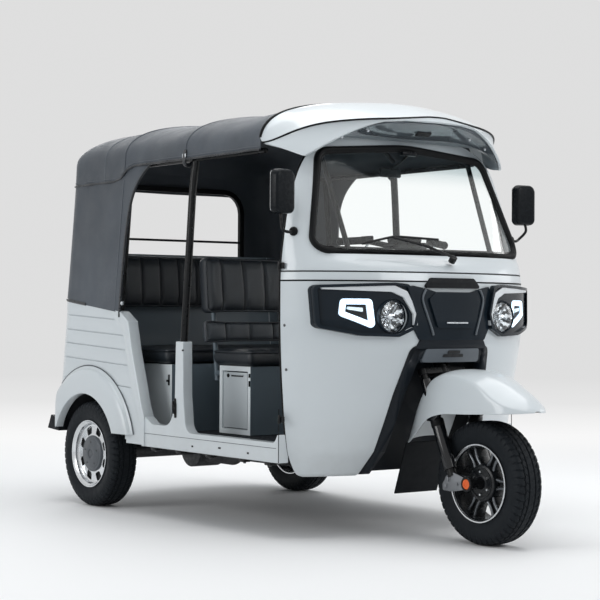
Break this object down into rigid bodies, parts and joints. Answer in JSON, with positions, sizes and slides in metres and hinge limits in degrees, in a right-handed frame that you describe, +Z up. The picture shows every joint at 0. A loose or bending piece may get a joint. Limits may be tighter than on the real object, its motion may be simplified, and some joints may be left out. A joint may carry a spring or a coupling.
{
  "type": "three-wheeled auto rickshaw",
  "caption": "Three-wheeled auto rickshaw with a rounded cowl, folding-top canopy, driver seat, passenger bench, steered front wheel, opening box door and tail lid.",
  "frame": {"origin": "on the ground under the middle of the bounding box", "axes": "+Z up, the front faces -Y, +X is the left side of the vehicle"},
  "size_m": [1.4728, 2.793, 1.836],
  "materials": {
    "paint": "satin",
    "plastic": "matte",
    "canvas": "matte",
    "leather": "satin",
    "black_steel": "satin",
    "steel": "matte",
    "tyre": "matte",
    "rubber": "matte",
    "alloy": "polished",
    "glass": "gloss",
    "lamp": "gloss",
    "red_lens": "gloss"
  },
  "bodies": {
    "body": {"chassis_frame": "black_steel", "floor_pan": "black_steel", "battery_box": "black_steel", "front_cowl": "paint", "headlamp_mask": "plastic", "headlamps": "alloy", "front_lamp_lenses": "lamp", "wheel_bay_surround": "plastic", "windshield_seal": "rubber", "windshield_glass": "glass", "roof_cap": "paint", "sun_visor": "plastic", "wiper": "black_steel", "dashboard": "plastic", "side_sills": "paint", "rear_quarter_panels": "paint", "rear_fenders": "paint", "wheel_housings": "plastic", "tail_panel": "paint", "tail_lamps": "red_lens", "rear_bumper": "black_steel", "canopy_frame": "black_steel", "canopy_canvas": "canvas", "rear_window_frame": "rubber", "driver_seat_base": "paint", "driver_seat_cushion": "leather", "driver_backrest": "leather", "bench_base": "paint", "bench_cushion": "leather", "bench_backrest": "leather", "mirrors": "plastic", "rear_axle": "steel", "rear_springs": "black_steel"},
    "steering": {"handlebar": "black_steel", "front_fork": "black_steel", "front_fender": "paint", "front_mudflap": "rubber"},
    "front_wheel": {"front_tyre": "tyre", "front_rim": "alloy"},
    "rear_right_wheel": {"rear_tyre_right": "tyre", "rear_rim_right": "alloy"},
    "rear_left_wheel": {"rear_tyre_left": "tyre", "rear_rim_left": "alloy"},
    "seat_box_door": {"driver_box_door": "paint"},
    "tail_lid": {"tail_lid": "paint"}
  },
  "joints": [
    {"name": "steering", "type": "hinge", "parent": "body", "child": "steering", "pos_m": [0, -0.87, 0.62], "axis": [0, 0.4067, 0.9135], "range_deg": [-35, 35]},
    {"name": "front_wheel_spin", "type": "hinge", "parent": "steering", "child": "front_wheel", "pos_m": [0, -1.118, 0.25], "axis": [1, 0, 0], "continuous": true},
    {"name": "rear_right_spin", "type": "hinge", "parent": "body", "child": "rear_right_wheel", "pos_m": [-0.598, 0.952, 0.25], "axis": [1, 0, 0], "continuous": true},
    {"name": "rear_left_spin", "type": "hinge", "parent": "body", "child": "rear_left_wheel", "pos_m": [0.598, 0.952, 0.25], "axis": [1, 0, 0], "continuous": true},
    {"name": "seat_box_door", "type": "hinge", "parent": "body", "child": "seat_box_door", "pos_m": [-0.356, 0.248, 0.53], "axis": [0, 0, -1], "range_deg": [0, 100]},
    {"name": "tail_lid", "type": "hinge", "parent": "body", "child": "tail_lid", "pos_m": [0, 1.29621, 0.774], "axis": [1, 0, 0], "range_deg": [0, 75]}
  ]
}
